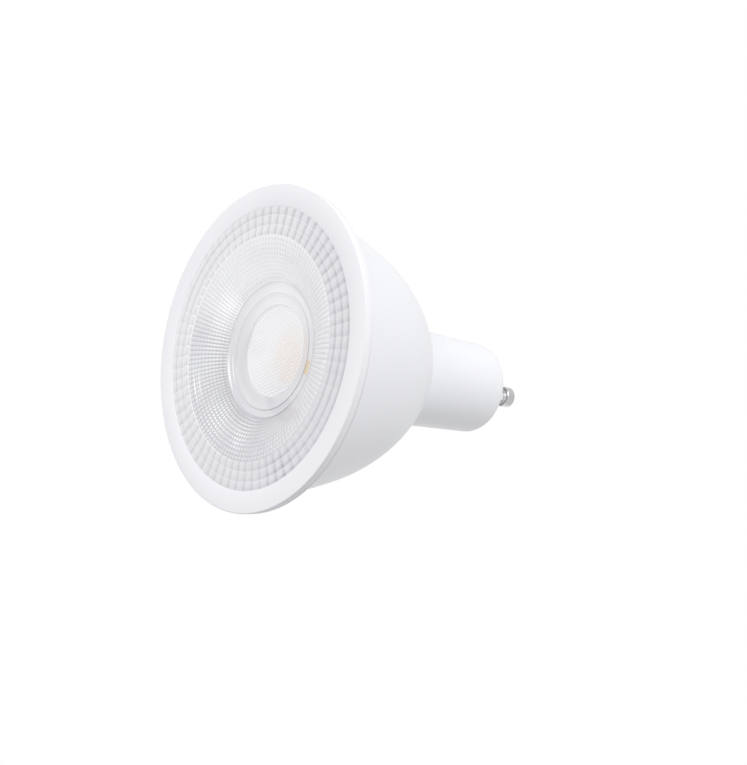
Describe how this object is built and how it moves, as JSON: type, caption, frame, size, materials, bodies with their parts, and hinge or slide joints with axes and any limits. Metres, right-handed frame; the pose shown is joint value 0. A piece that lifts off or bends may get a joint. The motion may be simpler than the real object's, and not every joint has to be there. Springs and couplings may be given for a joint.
{
  "type": "led spotlight bulb",
  "caption": "White reflector spotlight bulb with a faceted clear lens sunk in a flat ring, a bell-shaped housing with a round neck, and headed contact pins at its end.",
  "frame": {"origin": "centre of the front ring's flat face, where the lamp rests lens down", "axes": "+Z along the lamp's axis from the lens to the contact pins, +X from the axis to contact pin 1"},
  "size_m": [0.05, 0.05, 0.0509],
  "materials": {
    "housing_white": "satin",
    "bezel_white": "satin",
    "lens_clear": "clear, faceted",
    "cup_aluminium": "pressed",
    "pad_grey": "matt",
    "board_white": "white solder mask",
    "carrier_white": "polished",
    "dam_white": "matt",
    "phosphor_yellow": "silicone with phosphor",
    "screw_steel": "zinc plated",
    "driver_green": "solder mask",
    "film_red": "moulded box",
    "chip_black": "moulded",
    "can_dark": "sleeved can",
    "resistor_body": "lacquered",
    "diode_black": "moulded",
    "varistor_blue": "dipped coating",
    "ferrite": "sintered",
    "winding_copper": "enamelled copper wire",
    "pin_nickel": "nickel plated",
    "lead_red": "insulated wire",
    "lead_black": "insulated wire"
  },
  "bodies": {
    "root": {"bezel_ring": "bezel_white", "housing_shell": "housing_white", "lens": "lens_clear", "heat_sink_cup": "cup_aluminium", "thermal_pad": "pad_grey", "led_board": "board_white", "led_chip_carrier": "carrier_white", "led_chip_dam": "dam_white", "led_phosphor": "phosphor_yellow", "board_screw_1": "screw_steel", "board_screw_2": "screw_steel", "driver_board": "driver_green", "film_capacitor": "film_red", "driver_chip": "chip_black", "bridge_rectifier": "chip_black", "input_capacitor": "can_dark", "output_capacitor": "can_dark", "fusible_resistor": "resistor_body", "output_diode": "diode_black", "varistor": "varistor_blue", "inductor_core": "ferrite", "inductor_winding": "winding_copper", "contact_pin_1": "pin_nickel", "contact_pin_2": "pin_nickel", "led_lead_plus": "lead_red", "led_lead_minus": "lead_black", "pin_lead_1": "lead_red", "pin_lead_2": "lead_black"}
  },
  "joints": []
}
